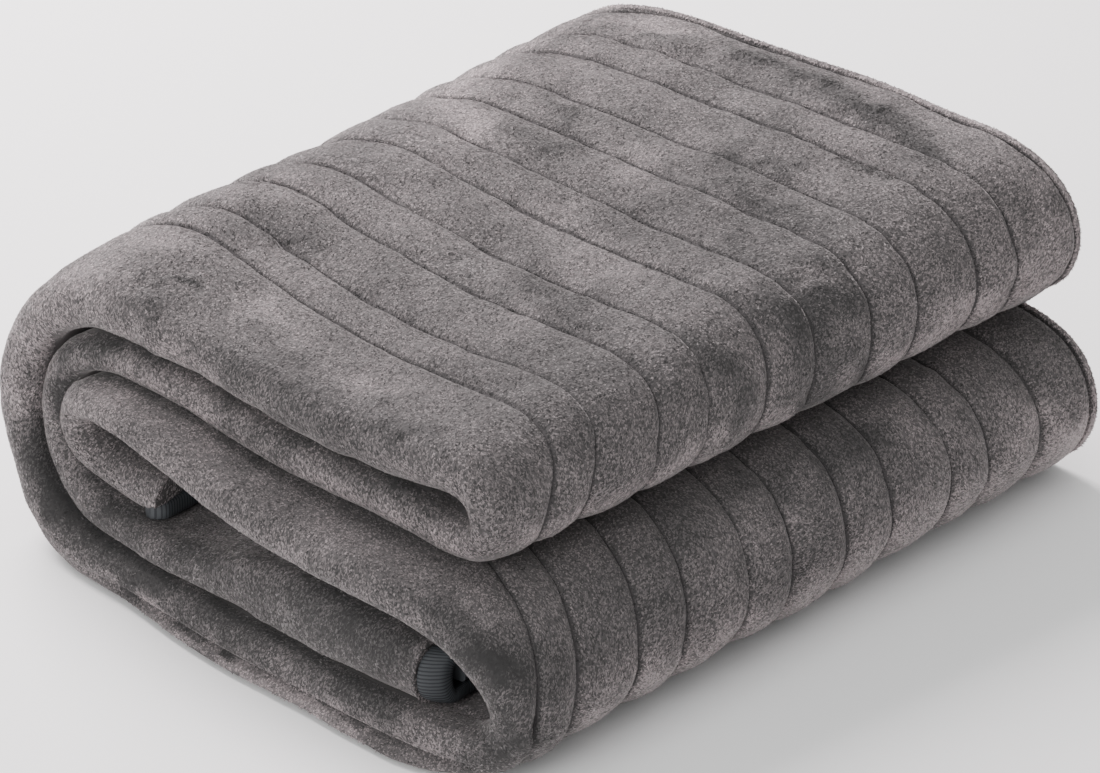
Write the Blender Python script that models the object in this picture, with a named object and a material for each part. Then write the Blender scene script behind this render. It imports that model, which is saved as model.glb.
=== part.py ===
"""An electric heated blanket of padded plush, folded in three along its length and then
folded up again into a cushion-shaped block. Tape is bound over its two short ends.

The blanket is one cloth. Folded in three it makes a strip three plies thick, whose near
edge is a fat rounded fold and whose far edge is the hem of the outer flap lying over the
fold below it. The strip is laid up on the floor in six layers joined by five folds.
Lengths in the tables are millimetres; +X runs along the layers, +Y across the strip from
its near rim to its far rim, +Z is up, and the block rests on z = 0."""

import math
from collections import namedtuple

import bmesh
import bpy
import numpy as np

MM = 0.001

# ---- driving dimensions -------------------------------------------------------------
PLY = 8.7                 # pitch of the three plies of the strip
HALF = 12.6               # half the strip's free thickness at a channel's shoulders
CROWN = 0.9               # how far a channel's middle stands above its shoulders
GROOVE = 2.8              # depth of the stitched grooves below the shoulders
INNER_GROOVE = 1.4        # the same, on the face turned inwards
SHOULDER = 6.5            # from a stitched line to the shoulder of its channel
LIP = 12.5                # depth of the rounded near edge
HEM_THICK = 5.0           # outer flap's hem at the far rim
HEM_LIP = 6.0             # how far that hem reaches past the fold below it
HEM_LINE = 5.0            # from the far rim to the hem's line of stitching
STATIONS = 70             # sections along the strip
SEAM_GAP = 0.3            # between the cloth's end and its tape
TAPE_WIDTH = 11.0         # the tape's reach along the strip
TAPE_THICK = 7.4          # a bound ply with its tape
TAPE_EDGE = 1.2           # rounding of the tape's long edges

# Stitched lines across the strip, as shares of the way from the first to the last.
CHANNEL_LINES = (0.0, 0.074, 0.190, 0.281, 0.396, 0.484, 0.596, 0.688, 0.807, 0.885, 1.0)

# The strip's middle surface, one row for each place it passes on its way: x and z at the
# near rim, x and z at the far rim, the two rims' y, how far the first and the last
# stitched lines lie in from the two rims, how far the cloth arches up between its rims,
# how far the outer ply of the near edge reaches past the rest, and half the thickness
# at the two rims, less where the layers above press it.
Place = namedtuple("Place", "name x_near z_near x_far z_far rim_near rim_far "
                            "lead tail arch toe half_near half_far")
PATH = (
    Place("inner end", -71, 58.5, -71, 67, -204, 210, 55, 46, 0, 0, 11, 11.5),
    Place("inner layer", -89, 60, -89, 67, -204, 210, 55, 46, 0, 0, 11, 11.5),
    Place("left fold", -104, 63, -102, 68, -205, 210, 52, 46, 0, 0, 11, 11.3),
    Place("left fold", -115.5, 69, -113.5, 74, -206, 210, 50, 46, 0, 0, 10.8, 11.3),
    Place("left fold", -120.5, 79.5, -118.5, 85, -206, 210, 50, 46, 0, 0, 10.5, 11.3),
    Place("left fold", -116, 91, -113.5, 96, -207, 210, 52, 46, 0, 0, 9.5, 11.3),
    Place("middle layer", -104, 95.5, -102, 101, -209, 211, 55, 46, 0, 0, 8, 11.5),
    Place("middle layer", -60, 95.5, -60, 99, -214, 212, 60, 46, 0, 0, 7.6, 11.5),
    Place("middle layer", -10, 87.5, -10, 93, -217, 212, 62, 46, 0, 0, 8.8, 12),
    Place("middle layer", 45, 80, 45, 85, -216, 212, 62, 46, 0, 0, 10.5, 12),
    Place("middle layer", 100, 78.5, 100, 78.5, -215, 212, 58, 46, 0, 0, 10.5, 12.2),
    Place("middle layer", 142, 72, 146, 73, -213, 212, 43, 46, 0, 0, 11.5, 12.4),
    Place("lower roll", 169, 58, 173, 64, -212, 212, 28, 44, 0, 0, 12.6, 12.6),
    Place("lower roll", 179, 38, 183, 45, -211, 212, 15, 43, 0, 0, 12.6, 12.6),
    Place("lower roll", 168, 19, 174, 22, -213, 212, 15, 43, 0, 0, 12.6, 12.6),
    Place("bottom layer", 142, 12.3, 147, 12.3, -217, 212, 22, 46, 0, 4, 12.6, 12.6),
    Place("bottom layer", 80, 11.9, 80, 11.9, -221, 213, 34, 46, 0, 7, 12.2, 12.2),
    Place("bottom layer", 0, 11.9, 0, 11.9, -220, 214, 40, 46, 0, 4, 12.2, 12.2),
    Place("bottom layer", -80, 11.9, -80, 11.9, -215, 214, 45, 46, 0, 0, 12.2, 12.2),
    Place("bottom layer", -130, 14, -130, 14, -210, 214, 50, 46, 0, 0, 12.6, 12.6),
    Place("outer left fold", -159, 33, -159, 34, -203, 214, 55, 46, 0, 0, 12.6, 12.6),
    Place("outer left fold", -172, 76, -171, 87, -198, 214, 60, 30, 0, 0, 12.6, 12.6),
    Place("outer left fold", -158, 115, -157, 134, -193, 214, 65, 16, 7, 0, 12.6, 12.6),
    Place("top layer", -124, 136, -122, 153, -190, 213, 70, 8, 7, 0, 12.6, 12.6),
    Place("top layer", -70, 138, -70, 160, -188, 212, 66, 6, -1, 0, 12.6, 12.6),
    Place("top layer", -10, 135, -10, 162, -188, 212, 62, 5, -4, 0, 12.6, 12.6),
    Place("top layer", 50, 132, 50, 164, -188, 212, 60, 4, -3, 0, 12.6, 12.6),
    Place("top layer", 100, 135, 104, 163, -187, 212, 58, 4, -1, 0, 12.6, 12.6),
    Place("upper roll", 124, 135, 140, 160, -186, 212, 53, 4, 0, 0, 12.4, 12.6),
    Place("upper roll", 136, 130, 159, 149, -186, 212, 47, 4, 0, 0, 12, 12.6),
    Place("upper roll", 141, 118, 166, 132, -185, 212, 36, 4, 0, 0, 11.6, 12.6),
    Place("upper roll", 136, 106.5, 159, 114, -184, 212, 33, 4, 0, 0, 10.8, 12.6),
    Place("upper roll", 124, 101.5, 140, 105, -184, 212, 36, 4, 0, 0, 10.3, 12.2),
    Place("upper layer", 90, 104.5, 90, 108, -186, 212, 44, 20, 0, 0, 10, 12),
    Place("upper layer", 40, 105.5, 40, 115, -188, 210, 50, 30, 0, 0, 10, 12),
    Place("upper layer", -20, 109.8, -20, 121, -189, 210, 50, 40, 0, 0, 9, 11.6),
    Place("upper layer", -80, 114.8, -80, 127.5, -190, 209, 50, 46, 0, 0, 8.8, 11.4),
    Place("upper layer", -108, 114.5, -106, 128, -191, 209, 50, 46, 0, 0, 9, 11.2),
    Place("inner left fold", -132.5, 106, -132.5, 116, -193, 208, 50, 46, 0, 0, 9.4, 11.2),
    Place("inner left fold", -146, 77, -145, 83, -195, 208, 50, 46, 0, 0, 11, 11.3),
    Place("inner left fold", -126, 43.5, -126, 47, -203, 208, 50, 46, 0, 0, 11.6, 11.6),
    Place("lower layer", -80, 35, -80, 38.5, -210, 208, 50, 46, 0, 0, 9.3, 11.8),
    Place("lower layer", -36, 35.3, -36, 39, -212, 208, 50, 46, 0, 0, 9.2, 12),
    Place("lower layer", 8, 42, 8, 39.5, -214, 208, 50, 46, 0, 0, 15.6, 12.2),
    Place("lower layer", 80, 43.5, 80, 39.5, -215, 208, 50, 46, 0, 0, 17.8, 12.2),
    Place("outer end", 126, 41.8, 126, 39.5, -213, 208, 50, 46, 0, 0, 16.4, 12.2),
)

# Painted look: one plain material for each piece.
Cloth = namedtuple("Cloth", "name colour roughness metallic")
PLUSH = Cloth("grey_plush", (0.155, 0.142, 0.145, 1.0), 0.92, 0.0)
TAPE = Cloth("slate_tape", (0.036, 0.038, 0.042, 1.0), 0.78, 0.0)


# ---- the strip's middle surface -------------------------------------------------------
def spline(knots, values, end_slope):
    """Second derivatives of the smooth curve through the knots, both end slopes given."""
    count = len(knots)
    step = np.diff(knots)
    rise = np.diff(values) / step
    matrix = np.zeros((count, count))
    right = np.zeros(count)
    matrix[0, 0], matrix[0, 1] = 2 * step[0], step[0]
    matrix[-1, -1], matrix[-1, -2] = 2 * step[-1], step[-1]
    right[0] = 6 * (rise[0] - end_slope[0])
    right[-1] = 6 * (end_slope[1] - rise[-1])
    for i in range(1, count - 1):
        matrix[i, i - 1:i + 2] = step[i - 1], 2 * (step[i - 1] + step[i]), step[i]
        right[i] = 6 * (rise[i] - rise[i - 1])
    return np.linalg.solve(matrix, right)


def run(knots, values, bend, at):
    """Values and slopes of that curve at the places asked for."""
    i = np.clip(np.searchsorted(knots, at) - 1, 0, len(knots) - 2)
    step = knots[i + 1] - knots[i]
    a, b = (knots[i + 1] - at) / step, (at - knots[i]) / step
    value = (a * values[i] + b * values[i + 1]
             + ((a ** 3 - a) * bend[i] + (b ** 3 - b) * bend[i + 1]) * step ** 2 / 6)
    slope = ((values[i + 1] - values[i]) / step
             + ((3 * b * b - 1) * bend[i + 1] - (3 * a * a - 1) * bend[i]) * step / 6)
    return value, slope


def strip_path():
    """Near and far curves, rims and line insets, evenly sampled along the strip."""
    rows = np.array([place[1:] for place in PATH], float)
    middle = (rows[:, 0:2] + rows[:, 2:4]) / 2
    knots = np.concatenate([[0], np.cumsum(np.hypot(*np.diff(middle, axis=0).T))])
    at = np.linspace(0, knots[-1], 1600)
    ends = {0: (-1, 1), 1: (0, 0), 2: (-1, 1), 3: (0, 0)}
    values, slopes = [], []
    for column in range(rows.shape[1]):
        end_slope = ends.get(column, (0, 0))
        bend = spline(knots, rows[:, column], end_slope)
        value, slope = run(knots, rows[:, column], bend, at)
        values.append(value)
        slopes.append(slope)
    return at, np.array(values), np.array(slopes)


def stations():
    """Choose the sections, closer together where the strip turns."""
    at, values, slopes = strip_path()
    turn = np.zeros(len(at))
    for side in (0, 2):
        angle = np.unwrap(np.arctan2(slopes[side + 1], slopes[side]))
        turn[1:] += np.abs(np.diff(angle)) / 2
    weight = np.cumsum(turn / 0.33 + np.gradient(at) / 75.0)
    pick = np.interp(np.linspace(weight[0], weight[-1], STATIONS), weight, at)
    columns = [np.interp(pick, at, row) for row in values]
    slants = [np.interp(pick, at, row) for row in slopes]
    return np.array(columns).T, np.array(slants).T


def place_point(row, slant, y, out):
    """A point of the strip: y across it and `out` from its middle surface, where the
    cloth is thinned in proportion if it is pressed."""
    share = min(max((y - row[4]) / (row[5] - row[4]), 0.0), 1.0)
    out *= (row[10] + share * (row[11] - row[10])) / HALF
    x = row[0] + share * (row[2] - row[0])
    z = row[1] + share * (row[3] - row[1]) + row[8] * 12.2 * share * (1 - share) ** 4
    tx = slant[0] + share * (slant[2] - slant[0])
    tz = slant[1] + share * (slant[3] - slant[1])
    long = math.hypot(tx, tz)
    return x - out * tz / long, y, max(z + out * tx / long, 0.0)


# ---- the strip's section ---------------------------------------------------------------
def channel_lines(row):
    first, last = row[4] + row[6], row[5] - row[7]
    return [first + share * (last - first) for share in CHANNEL_LINES]


def section(row):
    """The closed outline across the strip as (y, out) pairs, near rim first, outer face."""
    near, far = row[4], row[5]
    lines = channel_lines(row)
    full = HALF + CROWN
    toe = max(row[9], 0.0)
    outline = [(near + LIP * (1 - math.cos(a)) - reach * toe, HALF * math.sin(a))
               for a, reach in ((0.0, 0.0), (0.45, 0.9), (1.05, 0.6))]
    edge = near + LIP
    crest = (edge + lines[0]) / 2
    outline += [(crest, full), (lines[0] - min(SHOULDER, (lines[0] - edge) / 2), HALF)]
    for here, there in zip(lines, lines[1:]):
        reach = min(SHOULDER, (there - here) / 3)
        outline += [(here, HALF - GROOVE), (here + reach, HALF),
                    ((here + there) / 2, full), (there - reach, HALF)]
    outline.append((lines[-1], HALF - GROOVE))
    hem = far - HEM_LINE
    if hem - lines[-1] > 9:
        outline += [(lines[-1] + 4, HALF), ((lines[-1] + hem) / 2, full), (hem - 3, HALF)]
    else:
        outline += [(lines[-1] + 0.5, HALF - GROOVE), (lines[-1] + 1.0, HALF - GROOVE),
                    (lines[-1] + 1.5, HALF - GROOVE)]
    top = HALF
    rim = max(far, lines[-1] + HEM_LINE)
    outline += [(rim - 6, top - GROOVE / 2), (rim - 3, top), (rim - 0.6, top - 1.2),
                (rim, top - HEM_THICK / 2), (rim - 0.8, top - HEM_THICK + 0.8),
                (rim - HEM_LIP, top - HEM_THICK - 0.8)]
    fold = rim - HEM_LIP + 0.5
    low = top - HEM_THICK - 1.6
    middle, radius = (low - HALF) / 2, (low + HALF) / 2
    outline += [(fold - radius * 0.7 * (1 - math.cos(a)), middle + radius * math.sin(a))
                for a in (1.0, 0.45, -0.2, -0.85)]
    outline.append((fold - radius * 0.7 - 4, -HALF))
    for here, there in zip(lines[::-1], lines[-2::-1]):
        here, there = min(here, fold - 14), min(there, fold - 15)
        outline += [(here, INNER_GROOVE - HALF), ((here + there) / 2, -HALF)]
    outline += [(max(lines[0], edge + 6), INNER_GROOVE - HALF), (edge + 2, -HALF)]
    outline += [(near + LIP * (1 - math.cos(a)), -HALF * math.sin(a))
                for a in (1.05, 0.52)]
    return outline


def solid(name, rings, look, collection):
    """Close a row of equal rings into one body, its faces turned outwards."""
    mesh = bmesh.new()
    verts = [[mesh.verts.new([c * MM for c in point]) for point in ring] for ring in rings]
    count = len(rings[0])
    for ring, after in zip(verts, verts[1:]):
        for j in range(count):
            k = (j + 1) % count
            mesh.faces.new((ring[j], ring[k], after[k], after[j]))
    mesh.faces.new(verts[0][::-1])
    mesh.faces.new(verts[-1])
    bmesh.ops.triangulate(mesh, faces=mesh.faces[:])
    bmesh.ops.recalc_face_normals(mesh, faces=mesh.faces[:])
    data = bpy.data.meshes.new(name)
    mesh.to_mesh(data)
    mesh.free()
    material = bpy.data.materials.new(look.name)
    material.use_nodes = True
    shader = material.node_tree.nodes["Principled BSDF"]
    shader.inputs["Base Color"].default_value = look.colour
    shader.inputs["Roughness"].default_value = look.roughness
    shader.inputs["Metallic"].default_value = look.metallic
    data.materials.append(material)
    body = bpy.data.objects.new(name, data)
    collection.objects.link(body)
    return body


def blanket_rings():
    rows, slants = stations()
    return [[place_point(row, slant, y, out) for y, out in section(row)]
            for row, slant in zip(rows, slants)]


# ---- the tape over the strip's ends -------------------------------------------------------
def tape_route(near, far):
    """Middle line of the bound end, folded in three: (y, out) with the way it faces."""
    steps = []
    flap = PLY
    for y in np.linspace(far - 6, near + LIP + 1, 9):
        steps.append((y, flap, (0.0, 1.0)))
    for a in np.linspace(0.22, math.pi - 0.22, 7):
        steps.append((near + LIP - (LIP - TAPE_THICK / 2) * math.sin(a),
                      flap * math.cos(a), (-math.sin(a), math.cos(a))))
    turn = far - HEM_LIP - PLY / 2
    for y in np.linspace(near + LIP + 1, turn - 1, 9):
        steps.append((y, -flap, (0.0, -1.0)))
    for a in np.linspace(0.3, math.pi - 0.3, 5):
        steps.append((turn + PLY / 2 * math.sin(a), -PLY / 2 - PLY / 2 * math.cos(a),
                      (math.sin(a), -math.cos(a))))
    for y in np.linspace(turn - 1, near + LIP + 8, 9):
        steps.append((y, 0.0, (0.0, 1.0)))
    return steps


def tape_rings(place, way):
    """A bound end: rounded bar that follows the plies and stands off the cloth's end."""
    start = SEAM_GAP
    thick, edge = TAPE_THICK / 2, TAPE_EDGE
    bar = [(start, thick - edge), (start + edge, thick), (start + TAPE_WIDTH - edge, thick),
           (start + TAPE_WIDTH, thick - edge), (start + TAPE_WIDTH, edge - thick),
           (start + TAPE_WIDTH - edge, -thick), (start + edge, -thick),
           (start, edge - thick)]
    rings = []
    for y, out, facing in tape_route(place.rim_near, place.rim_far):
        share = (y - place.rim_near) / (place.rim_far - place.rim_near)
        z = place.z_near + share * (place.z_far - place.z_near)
        half = place.half_near + share * (place.half_far - place.half_near)
        out *= max(half / HALF, 1.0)
        ring = [(place.x_near + along, y + thick * facing[0],
                 z + way * (out + thick * facing[1])) for along, thick in bar]
        rings.append(ring)
    return rings


# ---- put it together ------------------------------------------------------------------------
def centred(groups):
    """Move every ring so that the origin is under the middle of the block."""
    points = np.array([p for rings in groups for ring in rings for p in ring])
    low, high = points.min(0), points.max(0)
    shift = np.array([(low[0] + high[0]) / 2, (low[1] + high[1]) / 2, low[2]])
    return [[[tuple(np.array(p) - shift) for p in ring] for ring in rings]
            for rings in groups]


def build():
    for old in list(bpy.data.objects):
        bpy.data.objects.remove(old, do_unlink=True)
    collection = bpy.data.collections.new("electric_heated_blanket")
    bpy.context.scene.collection.children.link(collection)
    groups = centred([blanket_rings(), tape_rings(PATH[0], -1.0), tape_rings(PATH[-1], 1.0)])
    solid("blanket", groups[0], PLUSH, collection)
    solid("binding_inner", groups[1], TAPE, collection)
    solid("binding_outer", groups[2], TAPE, collection)


build()
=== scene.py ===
"""Looks of a folded electric heated blanket: a padded grey plush throw with stitched
channels, folded in three and folded up again into a block, with ribbed tape bound over its
two short ends.

The strip of folded cloth is a fine mesh on the folds of its solid. Pile, stitching and
tape are laid on it. The tables hold millimetres: +X runs along the layers, +Y across the
strip from its near rim to its far rim, and the block rests on z = 0."""

import math
from collections import namedtuple

import bmesh
import bpy
import numpy as np
from bpy.props import FloatProperty, FloatVectorProperty, IntProperty, PointerProperty
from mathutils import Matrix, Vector
from mathutils.bvhtree import BVHTree


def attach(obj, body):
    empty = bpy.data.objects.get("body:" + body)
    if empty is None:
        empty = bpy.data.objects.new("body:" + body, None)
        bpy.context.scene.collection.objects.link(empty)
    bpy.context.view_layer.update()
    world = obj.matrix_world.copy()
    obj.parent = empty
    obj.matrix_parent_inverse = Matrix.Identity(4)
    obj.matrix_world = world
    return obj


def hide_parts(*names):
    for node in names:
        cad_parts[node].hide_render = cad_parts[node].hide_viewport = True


bl_info = {
    "name": "Folded Heated Blanket",
    "version": (1, 0, 0),
    "blender": (4, 5, 0),
    "location": "View3D > Sidebar > Blanket",
    "description": "Plush cloth, pile, stitching and bound ends of a folded heated blanket",
    "category": "Object",
}

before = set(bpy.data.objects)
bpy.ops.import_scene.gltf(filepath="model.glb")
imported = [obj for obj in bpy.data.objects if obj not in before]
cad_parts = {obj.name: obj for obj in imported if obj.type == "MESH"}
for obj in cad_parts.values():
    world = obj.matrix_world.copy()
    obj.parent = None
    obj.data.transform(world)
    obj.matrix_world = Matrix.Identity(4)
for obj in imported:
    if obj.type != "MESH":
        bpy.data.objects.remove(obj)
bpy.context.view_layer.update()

MM = 0.001
MIDDLE = np.array([5.6413, -5.9099, 0.0])  # the block's middle, where the tables put it

# ---- the folded strip ----
PLY = 8.7              # pitch of the strip's three plies
HALF = 12.6            # half the strip's free thickness at a channel's shoulders
LIP = 12.5             # depth of the rounded near edge
HEM_THICK = 5.0        # the outer flap's hem at the far rim
HEM_LIP = 6.0          # how far that hem reaches past the fold below it
HEM_LINE = 5.0         # from the far rim to the hem's line of stitching
INNER_GROOVE = 1.4     # depth of the stitched grooves on the face turned inwards
ARCH = 12.2            # brings the arch's height to 1 at its highest

# Stitched lines across the strip, as shares of the way from the first to the last.
CHANNEL_LINES = (0.0, 0.074, 0.190, 0.281, 0.396, 0.484, 0.596, 0.688, 0.807, 0.885, 1.0)

# The strip's middle surface, one row for each place it passes: x and z at the near rim,
# x and z at the far rim, the two rims' y, how far the first and last stitched lines lie in
# from the rims, the arch between the rims, how far the outer ply of the near edge reaches
# out, half the thickness at the two rims, how deep the channels are quilted on the outer
# face, how round they are, and how much of the outer face shows.
COLUMNS = ("x_near z_near x_far z_far rim_near rim_far lead tail arch toe "
           "half_near half_far quilt round show").split()
PATH = (
    ("inner end", -71, 58.5, -71, 67, -204, 210, 55, 46, 0, 0, 11, 11.5, 2.6, 0.5, 0),
    ("inner layer", -89, 60, -89, 67, -204, 210, 55, 46, 0, 0, 11, 11.5, 2.6, 0.5, 0),
    ("left fold", -104, 63, -102, 68, -205, 210, 52, 46, 0, 0, 11, 11.3, 2.6, 0.5, 0),
    ("left fold", -115.5, 69, -113.5, 74, -206, 210, 50, 46, 0, 0, 10.8, 11.3, 2.6, 0.5, 0),
    ("left fold", -120.5, 79.5, -118.5, 85, -206, 210, 50, 46, 0, 0, 10.5, 11.3, 2.6, 0.5, 0),
    ("left fold", -116, 91, -113.5, 96, -207, 210, 52, 46, 0, 0, 9.5, 11.3, 2.6, 0.5, 0),
    ("middle layer", -104, 95.5, -102, 101, -209, 211, 55, 46, 0, 0, 8, 11.5, 2.6, 0.5, 0),
    ("middle layer", -60, 95.5, -60, 99, -214, 212, 60, 46, 0, 0, 7.6, 11.5, 2.6, 0.5, 0),
    ("middle layer", -10, 87.5, -10, 93, -217, 212, 62, 46, 0, 0, 8.8, 12, 2.6, 0.5, 0),
    ("middle layer", 45, 80, 45, 85, -216, 212, 62, 46, 0, 0, 10.5, 12, 2.6, 0.5, 0),
    ("middle layer", 100, 78.5, 100, 78.5, -215, 212, 58, 46, 0, 0, 10.5, 12.2, 2.8, 0.5, 0),
    ("middle layer", 142, 72, 146, 73, -213, 212, 43, 46, 0, 0, 11.5, 12.4, 3.4, 0.5, 1),
    ("lower roll", 169, 58, 173, 64, -212, 212, 28, 44, 0, 0, 12.6, 12.6, 4.0, 0.55, 1),
    ("lower roll", 179, 38, 183, 45, -211, 212, 15, 43, 0, 0, 12.6, 12.6, 4.4, 0.6, 1),
    ("lower roll", 168, 19, 174, 22, -213, 212, 15, 43, 0, 0, 12.6, 12.6, 4.4, 0.6, 1),
    ("bottom layer", 142, 12.3, 147, 12.3, -217, 212, 22, 46, 0, 6, 12.6, 12.6, 4, 0.55, 0.3),
    ("bottom layer", 80, 11.9, 80, 11.9, -221, 213, 34, 46, 0, 7, 12.2, 12.2, 3.6, 0.5, 0),
    ("bottom layer", 0, 11.9, 0, 11.9, -220, 214, 40, 46, 0, 7, 12.2, 12.2, 3.4, 0.5, 0),
    ("bottom layer", -80, 11.9, -80, 11.9, -215, 214, 45, 46, 0, 3, 12.2, 12.2, 3.2, 0.5, 0),
    ("bottom layer", -130, 14, -130, 14, -210, 214, 50, 46, 0, 0, 12.6, 12.6, 3, 0.5, 0.3),
    ("outer left fold", -159, 33, -159, 34, -203, 214, 55, 46, 0, 0, 12.6, 12.6, 3, 0.5, 1),
    ("outer left fold", -172, 76, -171, 87, -198, 214, 60, 30, 0, 0, 12.6, 12.6, 3.4, 0.5, 1),
    ("outer left fold", -158, 115, -157, 134, -193, 214, 65, 16, 7, 0, 12.6, 12.6, 4.0, 0.5, 1),
    ("top layer", -124, 136, -122, 153, -190, 213, 70, 8, 7, 0, 12.6, 12.6, 4.2, 0.5, 1),
    ("top layer", -70, 138, -70, 160, -188, 212, 66, 6, -1, 0, 12.6, 12.6, 3.2, 0.45, 1),
    ("top layer", -10, 135, -10, 162, -188, 212, 62, 5, -4, 0, 12.6, 12.6, 2.9, 0.42, 1),
    ("top layer", 50, 132, 50, 164, -188, 212, 60, 4, -3, 0, 12.6, 12.6, 2.9, 0.42, 1),
    ("top layer", 100, 135, 104, 163, -187, 212, 58, 4, -1, 0, 12.6, 12.6, 3, 0.42, 1),
    ("upper roll", 124, 135, 140, 160, -186, 212, 53, 4, 0, 0, 12.4, 12.6, 2.6, 0.4, 1),
    ("upper roll", 136, 130, 159, 149, -186, 212, 47, 4, 0, 0, 12, 12.6, 3, 0.45, 1),
    ("upper roll", 141, 118, 166, 132, -185, 212, 36, 4, 0, 0, 11.6, 12.6, 3.2, 0.5, 1),
    ("upper roll", 136, 106.5, 159, 114, -184, 212, 33, 4, 0, 0, 10.8, 12.6, 3.2, 0.5, 1),
    ("upper roll", 124, 101.5, 140, 105, -184, 212, 36, 4, 0, 0, 10.3, 12.2, 3, 0.5, 0.5),
    ("upper layer", 90, 104.5, 90, 108, -186, 212, 44, 20, 0, 0, 10, 12, 2.6, 0.5, 0),
    ("upper layer", 40, 105.5, 40, 115, -188, 210, 50, 30, 0, 0, 10, 12, 2.6, 0.5, 0),
    ("upper layer", -20, 109.8, -20, 121, -189, 210, 50, 40, 0, 0, 9, 11.6, 2.6, 0.5, 0),
    ("upper layer", -80, 114.8, -80, 127.5, -190, 209, 50, 46, 0, 0, 8.8, 11.4, 2.6, 0.5, 0),
    ("upper layer", -108, 114.5, -106, 128, -191, 209, 50, 46, 0, 0, 9, 11.2, 2.6, 0.5, 0),
    ("inner left fold", -132.5, 106, -132.5, 116, -193, 208, 50, 46, 0, 0, 9.4, 11.2, 2.6, 0.5, 0),
    ("inner left fold", -146, 77, -145, 83, -195, 208, 50, 46, 0, 0, 11, 11.3, 2.6, 0.5, 0),
    ("inner left fold", -126, 43.5, -126, 47, -203, 208, 50, 46, 0, 0, 11.6, 11.6, 2.6, 0.5, 0),
    ("lower layer", -80, 35, -80, 38.5, -210, 208, 50, 46, 0, 0, 9.3, 11.8, 2.6, 0.5, 0.2),
    ("lower layer", -36, 35.3, -36, 39, -212, 208, 50, 46, 0, 0, 9.2, 12, 2.6, 0.5, 0.3),
    ("lower layer", 8, 42, 8, 39.5, -214, 208, 50, 46, 0, 0, 15.6, 12.2, 2.6, 0.5, 0.3),
    ("lower layer", 80, 43.5, 80, 39.5, -215, 208, 50, 46, 0, 0, 17.8, 12.2, 2.6, 0.5, 0.3),
    ("outer end", 126, 41.8, 126, 39.5, -213, 208, 50, 46, 0, 0, 16.4, 12.2, 2.6, 0.5, 0.3),
)

# Marks that hands have left in the pile of the top layer, from one place to another, with
# the half width and how much darker (or lighter, below nought) the pile is coloured there,
# partly as the brushed pile itself and partly as painted shade in the creases they press in.
Mark = namedtuple("Mark", "x0 y0 x1 y1 width shade")
MARKS = [Mark(*row) for row in (
    (-62, 200, -30, 200, 7, 0.5), (-34, 200, 16, 197, 8, 1.2),
    (16, 197, 60, 190, 8, 1.4), (52, 191, 110, 179, 7, 1.3),
    (28, 116, 66, 114, 9, 0.9), (54, 92, 90, 87, 8, 0.9),
    (80, 144, 101, 143, 2.5, 1.6), (-92, 184, -60, 184, 7, 0.8),
    (-86, 101, -60, 90, 8, 0.8), (-78, 69, -42, 60, 9, 0.7),
    (31, -36, 78, -45, 10, 0.9), (120, -30, 150, -22, 10, 0.9),
    (150, 30, 154, 66, 9, 1.1), (116, 14, 146, 22, 9, 0.7),
    (119, 72, 139, 70, 8, 0.7), (16, 41, 42, 31, 9, 0.15),
    (-137, -157, -92, -148, 13, 0.4), (-98, -160, -84, -147, 2.5, 1.6),
    (-102, -173, -84, -174, 6, 0.6), (-30, -178, 8, -181, 11, 0.7),
    (-114, -81, -75, -86, 12, 0.6), (62, -169, 88, -167, 7, 0.7),
    (-130, 196, -88, 196, 9, -0.8), (-135, 78, -90, 50, 14, -0.8),
    (-33, 90, 12, 69, 12, -0.5), (-27, 16, 58, -2, 15, -0.55),
    (-57, -138, 44, -151, 12, -0.6),
)]

# Soft creases in the cloth, from one place to another, with the half width and the depth (or
# the height of a ridge, below nought).
Crease = namedtuple("Crease", "x0 y0 z0 x1 y1 z1 width depth")
CREASES = [Crease(*row) for row in (
    (-96, -164, 152, -84, -145, 153, 3.5, 1.8),
    (-100, -170, 150, -92, -150, 153, 7, -1.0),
    (-148, -176, 139, -120, -167, 151, 6, 1.5), (-132, -158, 149, -108, -142, 156, 8, 1.2),
    (-122, -184, 100, -106, -178, 104, 3.5, 1.6), (-130, -190, 92, -120, -186, 104, 6, 1.4),
    (-41, -205, 42, -38, -196, 47, 2.5, 1.2), (-27, -206, 43, -24, -198, 48, 2.5, 1.1),
    (130, -182, 138, 137, -182, 121, 3.5, 1.6), (118, -184, 138, 124, -186, 126, 4, 1.2),
    (138, -206, 22, 160, -204, 27, 4, 1.8), (-76, 181, 169, -58, 187, 171, 3, 1.3),
    (152, 44, 146, 163, 58, 116, 7, 1.3), (150, 128, 84, 172, 106, 68, 7, 1.4),
    (60, -200, 92, 100, -200, 86, 6, 1.2), (-10, -206, 96, 26, -208, 86, 8, 1.0),
    (-165, -192, 72, -158, -196, 44, 8, 1.3), (-168, -100, 96, -160, -40, 118, 9, 1.2),
    (14, -206, 30, 62, -210, 30, 7, 1.4), (-70, -206, 30, -30, -208, 26, 7, 1.0),
)]
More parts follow.
